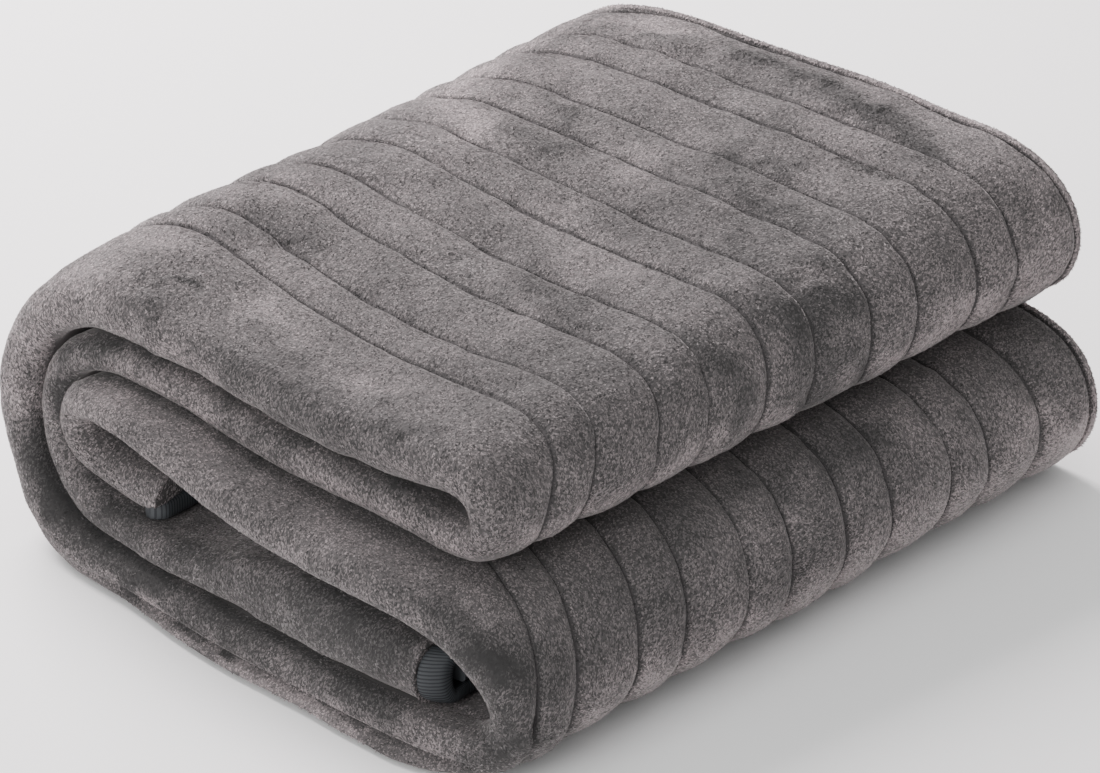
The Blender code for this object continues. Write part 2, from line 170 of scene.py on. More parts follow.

# Broad places where the pile is coloured darker (or lighter, below nought), in a crease's
# columns with the depth for how much: some are the pile's own brushed patches on the top,
# most are painted shade on the near faces and in the shadow of the upper roll, and painted
# light along the undersides and rims.
BRUSHED_AND_PAINTED_LIGHT = [Crease(*row) for row in (
    (-160, -190, 46, -133, -193, 26, 17, 0.85),
    (-133, -193, 26, -67, -207, 19, 18, 0.95),
    (-67, -207, 19, -12, -212, 15, 16, 0.6), (-40, -206, 41, 101, -206, 50, 18, 0.65),
    (84, -207, 49, 104, -206, 50, 12, 0.25), (127, -202, 81, 166, -202, 65, 12, 0.6),
    (166, -202, 65, 174, -204, 30, 16, 0.9), (178, -175, 62, 180, -180, 30, 14, 0.35),
    (-156, -187, 80, -144, -186, 93, 10, 0.6),
    (-144, -186, 93, -121, -179, 121, 13, 0.85),
    (0, -154, 146, 34, -180, 137, 22, 0.45), (78, -77, 153, 100, -93, 152, 24, 0.5),
    (95, 48, 164, 125, 40, 163, 18, 0.55), (182, -150, 24, 186, 205, 22, 16, -0.7),
    (150, -60, 78, 164, 60, 74, 14, 0.45), (-128, 110, 158, -97, 81, 162, 16, -0.2),
    (-110, 150, 164, -60, 190, 170, 20, -0.25),
    (-151, 211, 154, -142, 110, 153, 14, -0.5),
    (165, 133, 116, 170, 184, 127, 16, -0.3),
    (160, 205, 157, 176, 205, 120, 10, -0.4), (188, 160, 50, 186, 207, 30, 14, -0.6),
    (174, -150, 7, 178, 205, 7, 12, -0.4), (-60, -212, 6, 90, -218, 6, 8, -0.7),
    (-168, -170, 105, -165, 200, 120, 18, -0.3),
    (-158, -190, 128, -150, 200, 150, 12, -0.25),
    (-100, -190, 112, 120, -184, 102, 9, -0.4),
    (-70, -182, 132, 0, -175, 118, 9, -0.5),
    (-105, 85, 162, -75, -35, 157, 24, -0.15),
    (-135, -170, 148, -120, -60, 157, 20, -0.35),
    (-10, -200, 22, 98, -208, 24, 12, 0.4), (150, -150, 104, 168, 190, 112, 10, -0.6),
    (-172, -190, 60, -165, -190, 105, 12, -0.3),
    (-5, -206, 90, 25, -207, 88, 14, 0.25), (-125, -194, 24, -79, -195, 43, 12, 0.45),
    (0, 135, 166, 22, 150, 167, 16, 0.35), (92, 78, 166, 120, 104, 164, 16, 0.35),
    (86, -30, 161, 124, -72, 158, 20, 0.3), (158, 15, 130, 160, 35, 110, 12, 0.4),
    (174, -204, 30, 168, -208, 14, 12, 0.5), (-150, -196, 14, -60, -212, 6, 8, -0.4),
    (130, -8, 157, 145, 0, 150, 12, 0.25), (118, -112, 152, 130, -130, 146, 14, 0.3),
)]

# Shares of each stretch of the section at which the fine mesh has a column of points.
LIP_TURNS = np.linspace(0, 0.5 * math.pi, 15)[:-1]
CREST_STEPS = (0, .12, .27, .42, .57, .72, .84, .93, .98)
CHANNEL_STEPS = (0, .02, .06, .13, .24, .4, .6, .76, .87, .94, .98)
HEM_STEPS = (0, .06, .16, .3, .5, .7, .84, .94)
BACK_STEPS = (0, .12, .5, .88)
LOCK = np.array([0.7, 1.0, 0.9])  # size of a lock of pile, longest the way it lies
GATHER = 0.5           # how far the tips of a lock's tufts draw together
SHADES = 12            # steps from the darkest pile to the lightest
LOCK_SHADE = 0.3       # how much one lock's shade differs from the next
LOCK_GAP_SHADE = 1.0        # painted shade: how much darker the pile is coloured between the locks
LOCK_TILT = 0.7        # how far the way one lock faces differs from the next
LOCKS = 65536          # different locks
LOCK_MIX = np.array([73856093, 19349663, 83492791])  # scatters the locks
STROKES = 0.35         # share of the tufts that lie in the shade of the others
STROKE_SHADE = 0.9     # how much darker those tufts are
LIFT = 0.42            # how much lighter the other tufts are
BACKING_SHADE = 0.3          # painted shade: how much darker the cloth under the tufts is coloured
RESTING = 7.0          # below this the pile of the face that the block lies on is pressed flat
PILE_PIECES = ("pile_dark", "pile_dim", "pile_pale", "pile_light")
TUFT_LENGTHS = 0.65, 1.2  # shortest and longest tuft, as shares of the usual one
TUFT_WIDTHS = 0.6, 1.25   # narrowest and widest, likewise
TUFT_RISE = 0.02, 0.18    # how steeply the tufts stand up
STRAY = 0.42           # how far each tuft strays from the way the pile lies
TURNED = 1.3           # how far the pile is turned towards the far rim at two of the folds
TURN_FADE = 15.0       # how gently it turns
SEAM_WIDTH = 0.45      # fewer tufts stand this near to a stitched line
SEAM_TUFTS = 0.45      # the share of them that do
OPEN_REACH = 70.0      # cloth further away than this doesn't shut a place in
PILE_ROUGHNESS = 0.9
SHEEN = 0.3            # how much of the light the tips of the pile catch edge on
SHEEN_TINT = 1.0, 0.94, 0.93
PAINTED_HEM_LIGHT = 0.7        # painted light: how much lighter the pile of the hem at the far rim is coloured
PAINTED_SIDE_SHADE = 0.14      # painted shade: how much darker the pile is coloured where it faces +X, away from the main light
PAINTED_SEAM_SHADE = 0.6       # painted shade: how much darker the pile is coloured beside a stitched line how far from the line that painted shade reaches
SEAM_REACH = 2.0       # how far from the line
MARK_AND_CREASE_SHADE = 0.60      # how dark the marks are coloured, as brushed pile and as painted shade in their creases
MARK_DEPTH = 1.1       # how deep the cloth is pressed in at a mark
OVERHANG = 12.0        # how far the upper plies of the inner end hang over its tape
END_REACH = 16.0       # the strip's ends have more stations than the rest, this far in
FAR_FROM_LINES = 9.0   # gap to a stitched line where there is none near

# Soft patches in the pile and lumps in the padding: strength, size and seed of each layer.
PATCHES = (0.09, 34.0, 31), (0.08, 15.0, 32), (0.08, 70.0, 33)
LUMPS = (0.75, 46.0, 11), (0.55, 19.0, 12), (0.30, 9.0, 13)

# A stitch's four bends: how far along its pitch, and how high above the cloth.
STITCH_STEPS = np.array([0.0, 0.15, 0.65, 0.80])
STITCH_HEIGHTS = np.array([-0.4, 0.2, 0.2, -0.4])

# The camera, in metres and degrees: the point it looks at, how far off it stands, how far
# round from straight in front and how far it looks down; its lens and sensor in millimetres.
CAMERA_AIM = 0.01164, 0.00052, 0.074
CAMERA_FAR = 2.733
CAMERA_SWING, CAMERA_DROP = 43.5, 29.0
CAMERA_LENS, CAMERA_SENSOR = 178.92, 36.0


# ---- smooth curves through the table's rows ----
def spline(knots, values, end_slope):
    """Second derivatives of the smooth curve through the knots, both end slopes given."""
    count = len(knots)
    step = np.diff(knots)
    rise = np.diff(values) / step
    matrix = np.zeros((count, count))
    right = np.zeros(count)
    matrix[0, 0], matrix[0, 1] = 2 * step[0], step[0]
    matrix[-1, -1], matrix[-1, -2] = 2 * step[-1], step[-1]
    right[0] = 6 * (rise[0] - end_slope[0])
    right[-1] = 6 * (end_slope[1] - rise[-1])
    for i in range(1, count - 1):
        matrix[i, i - 1:i + 2] = step[i - 1], 2 * (step[i - 1] + step[i]), step[i]
        right[i] = 6 * (rise[i] - rise[i - 1])
    return np.linalg.solve(matrix, right)


def run(knots, values, bend, at):
    """Values and slopes of that curve at the places asked for."""
    i = np.clip(np.searchsorted(knots, at) - 1, 0, len(knots) - 2)
    step = knots[i + 1] - knots[i]
    a, b = (knots[i + 1] - at) / step, (at - knots[i]) / step
    value = (a * values[i] + b * values[i + 1]
             + ((a ** 3 - a) * bend[i] + (b ** 3 - b) * bend[i + 1]) * step ** 2 / 6)
    slope = ((values[i + 1] - values[i]) / step
             + ((3 * b * b - 1) * bend[i + 1] - (3 * a * a - 1) * bend[i]) * step / 6)
    return value, slope


class Strip:
    """The strip's middle surface, sampled at stations along it."""

    def __init__(self, count):
        rows = np.array([place[1:] for place in PATH], float)
        middle = (rows[:, 0:2] + rows[:, 2:4]) / 2
        knots = np.concatenate([[0], np.cumsum(np.hypot(*np.diff(middle, axis=0).T))])
        at = np.linspace(0, knots[-1], 4000)
        values, slopes = {}, {}
        for k, name in enumerate(COLUMNS):
            if name in ("quilt", "round", "show"):
                values[name] = np.interp(at, knots, rows[:, k])
                slopes[name] = np.zeros(len(at))
                continue
            end_slope = (-1, 1) if name in ("x_near", "x_far") else (0, 0)
            values[name], slopes[name] = run(knots, rows[:, k],
                                             spline(knots, rows[:, k], end_slope), at)
        turn = np.zeros(len(at))
        for side in ("near", "far"):
            angle = np.unwrap(np.arctan2(slopes["z_" + side], slopes["x_" + side]))
            turn[1:] += np.abs(np.diff(angle)) / 2
        step = np.gradient(at)
        ends = np.minimum(at, at[-1] - at) < END_REACH
        weight = np.cumsum(turn * 12.0 + step * (0.16 + 0.24 * values["show"] + 0.3 * ends))
        pick = np.interp(np.linspace(weight[0], weight[-1], count), weight, at)
        self.at = pick
        self.value = {k: np.interp(pick, at, v)[:, None] for k, v in values.items()}
        self.slope = {k: np.interp(pick, at, v)[:, None] for k, v in slopes.items()}

    def point(self, y, out):
        """Points of the strip: y across it and `out` from its middle surface, where the
        cloth is thinned in proportion if it is pressed."""
        v, s = self.value, self.slope
        share = np.clip((y - v["rim_near"]) / (v["rim_far"] - v["rim_near"]), 0, 1)

        def mix(t, name):
            return t[name + "_near"] + share * (t[name + "_far"] - t[name + "_near"])

        out = out * mix(v, "half") / HALF
        x, z = mix(v, "x"), mix(v, "z") + v["arch"] * ARCH * share * (1 - share) ** 4
        tx, tz = mix(s, "x"), mix(s, "z")
        long = np.hypot(tx, tz)
        return np.stack([x - out * tz / long, y + 0 * x,
                         np.maximum(z + out * tx / long, 0.0)], -1) - MIDDLE

    def lines(self):
        """The y of each stitched line at each station."""
        v = self.value
        first, last = v["rim_near"] + v["lead"], v["rim_far"] - v["tail"]
        return [first + share * (last - first) for share in CHANNEL_LINES]


def valley(distance, reach, roundness):
    """1 on a stitched line, falling to 0 at the middle of the padding beside it."""
    near = 1 - np.clip(distance / reach, 0, 1)
    return 1 - (1 - near ** 2.1) ** roundness


def sections(strip):
    """Columns round the strip's section for every station: y, out, the gap to the nearest
    stitched line, and a name for the stretch each column lies in."""
    v = strip.value
    near, far, toe = v["rim_near"], v["rim_far"], np.maximum(v["toe"], 0)
    quilt, roundness = v["quilt"], v["round"]
    lines = strip.lines()
    edge = near + LIP
    crown = 0.33 * quilt
    columns, stretch = [], []

    def add(y, out, name, gap=FAR_FROM_LINES):
        columns.append((y + 0 * near, out + 0 * near, gap + 0 * near))
        stretch.append(name)

    for a in LIP_TURNS:
        tongue = math.exp(-((a - 0.85) / 0.34) ** 2)
        nip = math.exp(-((a - 0.34) / 0.15) ** 2)
        add(near + LIP * (1 - math.cos(a)) - toe * tongue + toe * 0.8 * nip,
            HALF * math.sin(a) - 0.25 * toe * nip, "lip")
    reach = np.clip(v["lead"] - LIP, 9, 18)
    for t in CREST_STEPS:
        y = edge + t * (lines[0] - edge)
        rise = np.clip((y - edge) / 14, 0, 1)
        dip = valley(lines[0] - y, reach, roundness)
        add(y, HALF + crown * rise * rise * (3 - 2 * rise) - quilt * dip, "crest",
            lines[0] - y)
    for here, there in zip(lines, lines[1:]):
        for t in CHANNEL_STEPS:
            width = there - here
            gap = min(t, 1 - t) * width
            dip = valley(gap, width / 2, roundness)
            add(here + t * width, HALF + crown - quilt * dip, "channel", gap)
    rim = np.maximum(far, lines[-1] + HEM_LINE)
    hem = rim - HEM_LINE
    for t in HEM_STEPS:
        width = hem - lines[-1]
        lift = crown * np.clip(width / 20, 0, 1)
        dip = np.maximum(valley(t * width, np.maximum(width / 2, 5), roundness),
                         0.8 * valley((1 - t) * width, np.maximum(width / 2, 5), roundness))
        add(lines[-1] + t * width, HALF + lift - quilt * dip, "hem",
            np.minimum(t * width, (1 - t) * width))
    add(hem, HALF - 0.8 * quilt, "hem", 0.0)
    add(hem + 0.5, HALF - 0.55 * quilt, "hem", 0.5)
    add(hem + 1.3, HALF - 0.2 * quilt, "hem", 1.3)
    round_rim = HEM_THICK / 2
    for b in np.linspace(0.5 * math.pi, -0.5 * math.pi, 9):
        add(rim - round_rim + round_rim * math.cos(b),
            HALF - round_rim + round_rim * math.sin(b), "rim")
    add(rim - HEM_LIP + 1.2, HALF - HEM_THICK - 0.4, "notch")
    add(rim - HEM_LIP, HALF - HEM_THICK - 0.8, "notch")
    fold, low = rim - HEM_LIP + 0.5, HALF - HEM_THICK - 1.6
    middle, radius = (low - HALF) / 2, (low + HALF) / 2
    for a in np.linspace(1.15, -1.25, 10):
        add(fold - radius * 0.7 * (1 - math.cos(a)), middle + radius * math.sin(a), "fold")
    add(fold - radius * 0.7 - 4, -HALF, "back")
    for here, there in zip(lines[::-1], lines[-2::-1]):
        here, there = np.minimum(here, fold - 14), np.minimum(there, fold - 15)
        for t in BACK_STEPS:
            dip = valley(min(t, 1 - t) * 30.0, 12.0, 0.5)
            add(here + t * (there - here), INNER_GROOVE * dip - HALF, "back")
    add(np.maximum(lines[0], edge + 6), INNER_GROOVE - HALF, "back")
    add(edge + 2, -HALF, "back")
    for a in LIP_TURNS[:0:-1]:
        add(near + LIP * (1 - math.cos(a)), -HALF * math.sin(a), "lip")
    y, out, gap = (np.concatenate([c[k] for c in columns], 1) for k in range(3))
    return y, out, gap, np.array(stretch)


# ---- soft unevenness, marks, and painted shade and light in the pile ----
def cloud(points, size, seed):
    """Smooth noise from -1 to 1 at points (mm) with lumps of the given size."""
    table = np.random.default_rng(seed).uniform(-1, 1, (32, 32, 32))
    p = np.asarray(points) / size + 100.0
    cell = np.floor(p).astype(int)
    f = p - cell
    f = f * f * f * (f * (f * 6 - 15) + 10)
    total = 0.0
    for corner in range(8):
        pick = [(corner >> k) & 1 for k in range(3)]
        weight = 1.0
        for k in range(3):
            weight = weight * (f[..., k] if pick[k] else 1 - f[..., k])
        i = [(cell[..., k] + pick[k]) % 32 for k in range(3)]
        total = total + weight * table[i[0], i[1], i[2]]
    return total * 1.6


def clouds(points, layers):
    """Sum of such noise in layers of (strength, size, seed)."""
    return sum(strength * cloud(points, size, seed) for strength, size, seed in layers)


def marked(points):
    """How much darker the marks colour the pile of the top layer at points (mm), partly as
    brushed pile and partly as painted shade in their creases.
    """
    edge = points + 5.0 * np.stack([cloud(points, 13.0, 41), cloud(points, 13.0, 42),
                                    0 * points[..., 0]], -1)
    shade = 0.0
    for mark in MARKS:
        start, end = np.array(mark[0:2]), np.array(mark[2:4])
        along = np.clip((edge[..., :2] - start) @ (end - start) / ((end - start) ** 2).sum(), 0, 1)
        gap = np.linalg.norm(edge[..., :2] - start - along[..., None] * (end - start), axis=-1)
        shade = shade + mark.shade * np.exp(-(gap / mark.width) ** 2)
    return shade * np.clip((points[..., 2] - 95) / 10, 0, 1)


def creased(points, creases, wander):
    """How deep creases are at points (mm), or how much darker the broad brushed and painted
    places are coloured, with edges that wander so far (mm).
    """
    edge = points + wander * np.stack([cloud(points, 11.0, k) for k in (43, 44, 45)], -1)
    depth = 0.0
    for crease in creases:
        start, end = np.array(crease[0:3], float), np.array(crease[3:6], float)
        along = np.clip((edge - start) @ (end - start) / ((end - start) ** 2).sum(), 0, 1)
        gap = np.linalg.norm(edge - start - along[..., None] * (end - start), axis=-1)
        depth = depth + crease.depth * np.exp(-(gap / crease.width) ** 2)
    return depth


def nap_and_painted_light(points, gap, up):
    """How light the pile is coloured, from -1 to 1, at points (mm) that face `up`, `gap` mm from a
    stitched line: its own soft patches and marks, with painted shade beside the stitched lines,
    where it faces +X and in listed places, and painted light on the hem and in other listed
    places."""
    hem = np.clip((points[..., 1] - 213.5) / 2, 0, 1) * np.clip(points[..., 2] / 8 - 1, 0, 1)
    return (clouds(points, PATCHES) - MARK_AND_CREASE_SHADE * marked(points)
            - creased(points, BRUSHED_AND_PAINTED_LIGHT, 6.0) + PAINTED_HEM_LIGHT * hem
            - PAINTED_SIDE_SHADE * np.clip(up[..., 0], 0, 1)
            - PAINTED_SEAM_SHADE * np.clip(1 - gap / SEAM_REACH, 0, 1))


def shade(light):
    """Which of the shades of pile a lightness from -1 to 1 falls in."""
    return np.clip(((light + 1) / 2 * SHADES).astype(int), 0, SHADES - 1)


def grid_normals(grid):
    """Outward directions of a grid of points, closed round its second axis."""
    around = np.roll(grid, -1, 1) - np.roll(grid, 1, 1)
    along = np.gradient(grid, axis=0)
    normal = np.cross(around, along)
    return normal / np.maximum(np.linalg.norm(normal, axis=-1, keepdims=True), 1e-9)


# ---- materials ----
def material(name, colour, roughness, sheen=0.0, sheen_tint=(1, 1, 1)):
    """A plain surface of one colour, with a sheen where it's asked for."""
    look = bpy.data.materials.new(name)
    look.use_nodes = True
    shader = look.node_tree.nodes["Principled BSDF"]
    shader.inputs["Base Color"].default_value = (*colour, 1)
    shader.inputs["Roughness"].default_value = roughness
    shader.inputs["Specular IOR Level"].default_value = 0.25
    shader.inputs["Sheen Weight"].default_value = sheen
    shader.inputs["Sheen Roughness"].default_value = 0.45
    shader.inputs["Sheen Tint"].default_value = (*sheen_tint, 1)
    return look


def pile_materials(look):
    """The shades of pile, from dark to light: lit and shaded steps of one plush, which carry its
    own uneven tone and also painted shade and painted light.
    """
    dark, light = np.log(np.array(look.dark)), np.log(np.array(look.light))
    return [material("pile_%02d" % k, np.exp(dark + (light - dark) * (k + 0.5) / SHADES),
                     PILE_ROUGHNESS, SHEEN, SHEEN_TINT) for k in range(SHADES)]


# ---- meshes ----
def mesh_object(name, points, faces, looks):
    """A smooth mesh of points (mm) and faces with as many corners each, with its materials."""
    data = bpy.data.meshes.new(name)
    corners = np.asarray(faces)
    size = corners.shape[1]
    data.vertices.add(len(points))
    data.vertices.foreach_set("co", (np.asarray(points, float) * MM).ravel())
    data.loops.add(corners.size)
    data.loops.foreach_set("vertex_index", corners.ravel().astype(np.int32))
    data.polygons.add(len(corners))
    data.polygons.foreach_set("loop_start", np.arange(0, corners.size, size, dtype=np.int32))
    data.polygons.foreach_set("use_smooth", np.full(len(corners), True))
    data.update(calc_edges=True)
    for look in looks:
        data.materials.append(look)
    made = bpy.data.objects.new(name, data)
    bpy.context.scene.collection.objects.link(made)
    return made


def ring_faces(rings, around, start=0):
    """Quads of a tube of rings, each `around` points, outward for +grid_normals."""
    j = np.arange(around)
    i = np.arange(rings - 1)[:, None] * around + start
    k = (j + 1) % around
    return np.stack([i + j, i + k, i + around + k, i + around + j], -1).reshape(-1, 4)


def capped(data, first, last):
    """Close the two ends of a tube mesh with a face each."""
    mesh = bmesh.new()
    mesh.from_mesh(data)
    mesh.verts.ensure_lookup_table()
    for ring in (first, last):
        face = mesh.faces.new([mesh.verts[i] for i in ring])
        bmesh.ops.triangulate(mesh, faces=[face])
    bmesh.ops.recalc_face_normals(mesh, faces=mesh.faces[:])
    mesh.to_mesh(data)
    mesh.free()


def dress(piece, node):
    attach(piece, "root")
    if node:
        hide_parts(node)


laid = {}  # what one operator makes and a later one builds on


# ---- sizes and colours ----
class BLANKET_PG_cloth(bpy.types.PropertyGroup):
    stations: IntProperty(name="Stations", description="Sections along the strip",
                          default=440, min=80, max=480)
    lump: FloatProperty(name="Unevenness", description="How far soft lumps stand proud",
                        default=0.0009, unit="LENGTH", subtype="DISTANCE")
    # The lightest and darkest of the pile's shades; the steps between carry the pile's own uneven
    # tone and also painted shade and painted light.
    light: FloatVectorProperty(name="Light pile", description="Plush lying towards the light",
                               default=(0.400, 0.338, 0.342), size=3, subtype="COLOR")
    dark: FloatVectorProperty(name="Dark pile", description="Plush brushed the other way",
                              default=(0.029, 0.0285, 0.0285), size=3, subtype="COLOR")
    # painted shade: the bottoms of the stitched lines are coloured darker than the pile
    seam: FloatVectorProperty(name="Seam", description="Bottom of the stitched lines",
                              default=(0.060, 0.056, 0.057), size=3, subtype="COLOR")


class BLANKET_PG_pile(bpy.types.PropertyGroup):
    tufts: IntProperty(name="Tufts", description="Tufts in each of the four pieces",
                       default=172000, min=1000, max=195000)
    length: FloatProperty(name="Length", description="Length of a tuft",
                          default=0.0017, unit="LENGTH", subtype="DISTANCE")
    width: FloatProperty(name="Width", description="Width of a tuft at its root",
                         default=0.0011, unit="LENGTH", subtype="DISTANCE")


class BLANKET_PG_tape(bpy.types.PropertyGroup):
    rib: FloatProperty(name="Rib pitch", description="From one rib to the next",
                       default=0.0017, unit="LENGTH", subtype="DISTANCE")
    colour: FloatVectorProperty(name="Tape", description="Colour of the tape's ribs",
                                default=(0.040, 0.044, 0.048), size=3, subtype="COLOR")
    # painted shade: the grooves between the ribs are coloured darker than the ribs
    shaded_groove: FloatVectorProperty(name="Tape grooves", description="Colour between the ribs",
                                default=(0.021, 0.023, 0.026), size=3, subtype="COLOR")


class BLANKET_PG_stitch(bpy.types.PropertyGroup):
    pitch: FloatProperty(name="Stitch", description="From one stitch to the next",
                         default=0.0036, unit="LENGTH", subtype="DISTANCE")
    thread: FloatProperty(name="Thread", description="Thickness of the thread",
                          default=0.0004, unit="LENGTH", subtype="DISTANCE")
    colour: FloatVectorProperty(name="Thread colour", description="Colour of the thread",
                                default=(0.042, 0.040, 0.042), size=3, subtype="COLOR")


class BLANKET_PG_stage(bpy.types.PropertyGroup):
    key: FloatProperty(name="Main light", description="Power of the softbox above on the left",
                       default=132.0, unit="POWER")
    front: FloatProperty(name="Front light", description="Power of the softbox in front",
                         default=22.0, unit="POWER")
    above: FloatProperty(name="Top light", description="Power of the softbox overhead",
                         default=12.0, unit="POWER")
    tint: FloatVectorProperty(name="Light", description="Colour of the main light",
                              default=(1.0, 0.93, 0.945), size=3, subtype="COLOR")
    fill: FloatProperty(name="Room light", description="Strength of the even light",
                        default=0.68)
    floor: FloatVectorProperty(name="Floor", description="Colour of the pale floor",
                               default=(0.97, 0.97, 0.97), size=3, subtype="COLOR")


# ---- operators ----
class BLANKET_OT_cloth(bpy.types.Operator):
    """Lay up the plush cloth along its folds, quilted in channels"""
    bl_idname = "blanket.cloth"
    bl_label = "Plush Cloth"

    def execute(self, context):
        look = context.scene.blanket_cloth
        strip = Strip(look.stations)
        y, out, gap, stretch = sections(strip)
        grid = strip.point(y, out)
        over = np.clip((4.5 - out) / 2.5, 0, 1) * np.exp(-(strip.at[:, None] / 9.0) ** 2)
        near = np.clip(1 - (y - strip.value["rim_near"]) / 60, 0, 1)
        grid[..., 0] += OVERHANG * over * near ** 0.3
        normal = grid_normals(grid)
        outer = np.isin(stretch, ("lip", "crest", "channel", "hem", "rim"))
        show = strip.value["show"] * outer
        show = np.maximum(show, 0.6 * (stretch == "lip"))
        show = show * (1 - 0.8 * np.isin(stretch, ("hem", "rim")))
        lump = look.lump / MM
        rough = clouds(grid, LUMPS)
        press = np.where(outer | (stretch == "back"),
                         creased(grid, CREASES, 2.5) + MARK_DEPTH * marked(grid), 0)
        grid = grid + normal * (lump * rough * show - press)[..., None]
        grid[..., 2] = np.maximum(grid[..., 2], 0.0)
        around = grid.shape[1]
        faces = ring_faces(len(grid), around)
        looks = pile_materials(look)
        looks.append(material("seam", look.seam, 0.95))
        piece = mesh_object("plush_cloth", grid.reshape(-1, 3), faces, looks)
        middle = grid.reshape(-1, 3)[faces].mean(1)
        close = gap.reshape(-1)[faces]
        up = normal.reshape(-1, 3)[faces[:, 0]]
        flat = (middle[:, 2] < RESTING) & (up[:, 2] < -0.3)
        # painted shade: the cloth under the tufts is coloured darker than its pile, less where it
        # rests on the floor
        index = shade(nap_and_painted_light(middle, close.mean(1), up) - np.where(flat, 0.2, BACKING_SHADE))
        # painted shade: the faces at the bottom of each stitched line take the seam's dark colour
        index[(close.min(1) < 0.01) & (close.max(1) < 1.6)] = SHADES
        piece.data.polygons.foreach_set("material_index", index.astype(np.int32))
        count = len(grid) * around
        capped(piece.data, range(around), range(count - around, count))
        dress(piece, "blanket")
        laid.update(strip=strip, grid=grid, stretch=stretch, gap=gap, cloth=piece, looks=looks)
        return {"FINISHED"}


class BLANKET_OT_pile(bpy.types.Operator):
    """Set tufts of pile over every face of the plush that isn't pressed against another"""
    bl_idname = "blanket.pile"
    bl_label = "Plush Pile"

    def execute(self, context):
        look = context.scene.blanket_pile
        total = look.tufts * len(PILE_PIECES)
        rng = np.random.default_rng(5)
        root, up, gap = self.roots(rng, total)
        lean = self.lay(rng, root, up)
        side = np.cross(up, lean)
        long = look.length / MM * rng.uniform(*TUFT_LENGTHS, total)
        long *= 1 - 0.6 * np.clip(1 - gap / 3.0, 0, 1)
        long *= 0.4 + 0.6 * np.clip(root[:, 2] / 14.0, 0, 1)
        wide = look.width / MM * rng.uniform(*TUFT_WIDTHS, total)
        rise = rng.uniform(*TUFT_RISE, total)
        # tufts lie in locks, each with its own shade, which draw their tips together
        locks = rng.random((LOCKS, 4))
        middle = root + lean * (0.35 * long)[:, None]
        cell = (middle + 1.5 * np.stack([cloud(middle, 6.0, k) for k in (51, 52, 53)], 1)) / LOCK
        place = np.floor(cell).astype(np.int64)
        lock = (place @ LOCK_MIX) % LOCKS
        pull = (place + 0.2 + 0.6 * locks[lock, :3] - cell) * LOCK
        pull -= (pull * up).sum(1, keepdims=True) * up
        tip = (root + up * (long * rise)[:, None]
               + lean * (long * np.sqrt(1 - rise ** 2))[:, None] + GATHER * pull)
        root = root + up * 0.04
        left, right = root - side * (wide / 2)[:, None], root + side * (wide / 2)[:, None]
        # painted shade: the further a tuft stands from the middle of its lock, the darker it is
        # coloured
        edge = np.clip(((pull / LOCK) ** 2).sum(1) - 0.2, 0, 0.35)
        # pile that faces up lies flatter, so less of it is in shade
        deep = 1.2 - 0.45 * np.clip(up[:, 2], 0, 1)
        light = (nap_and_painted_light(root, gap, up) + LOCK_SHADE * (locks[lock, 3] - 0.5) - LOCK_GAP_SHADE * edge
                 + deep * (LIFT - STROKE_SHADE * (rng.random(total) < STROKES))
                 + 0.08 * rng.normal(size=total))
        order = np.argsort(light)
        facing = up + 0.22 * lean + LOCK_TILT * (locks[lock, :3] - 0.5)
        facing /= np.linalg.norm(facing, axis=1, keepdims=True)
        for k, name in enumerate(PILE_PIECES):
            these = order[k * look.tufts:(k + 1) * look.tufts]
            blades = np.stack([right[these], left[these], tip[these]], 1).reshape(-1, 3)
            blades[:, 2] = np.maximum(blades[:, 2], 0.0)
            step = shade(light[these])
            used = range(step.min(), step.max() + 1)
            piece = mesh_object(name, blades, np.arange(len(blades)).reshape(-1, 3),
                                [laid["looks"][i] for i in used])
            piece.data.polygons.foreach_set("material_index",
                                            (step - step.min()).astype(np.int32))
            piece.data.normals_split_custom_set_from_vertices(np.repeat(facing[these], 3, 0))
            dress(piece, None)
        return {"FINISHED"}

    def roots(self, rng, total):
        """Where the tufts stand on the open faces of the cloth, the ways those faces look and
        the gaps to the stitched lines."""
        data = laid["cloth"].data
        apart = laid["gap"].ravel()
        data.calc_loop_triangles()
        corners = np.empty(len(data.loop_triangles) * 3, np.int32)
        data.loop_triangles.foreach_get("vertices", corners)
        corners = corners.reshape(-1, 3)
        places = np.empty(len(data.vertices) * 3)
        data.vertices.foreach_get("co", places)
        places = places.reshape(-1, 3) / MM
        tri = places[corners]
        cross = np.cross(tri[:, 1] - tri[:, 0], tri[:, 2] - tri[:, 0])
        area = np.linalg.norm(cross, axis=1) / 2
        face = cross / np.maximum(2 * area, 1e-9)[:, None]
        open_to = self.openness(places, corners, tri.mean(1), face)
        floor = (face[:, 2] < -0.3) & (tri[..., 2].mean(1) < RESTING)
        share = np.cumsum(area * open_to * ~floor)
        share /= share[-1]
        pick = np.searchsorted(share, rng.random(total * 5 // 4))
        u, v = rng.random((2, len(pick)))
        flip = u + v > 1
        u[flip], v[flip] = 1 - u[flip], 1 - v[flip]
        corner = corners[pick]
        gap = ((1 - u - v) * apart[corner[:, 0]] + u * apart[corner[:, 1]]
               + v * apart[corner[:, 2]])
        keep = np.flatnonzero((gap > SEAM_WIDTH) | (rng.random(len(gap)) < SEAM_TUFTS))[:total]
        pick, u, v, gap = pick[keep], u[keep], v[keep], gap[keep]
        t = tri[pick]
        root = t[:, 0] + u[:, None] * (t[:, 1] - t[:, 0]) + v[:, None] * (t[:, 2] - t[:, 0])
        return root, face[pick], gap

    @staticmethod
    def lay(rng, root, up):
        """The way each tuft lies along the cloth."""
        fall = np.stack([0.55 + 0.4 * cloud(root, 55.0, 21),
                         -0.65 + 0.45 * cloud(root, 48.0, 22),
                         -0.30 + 0.45 * cloud(root, 61.0, 23)], 1)
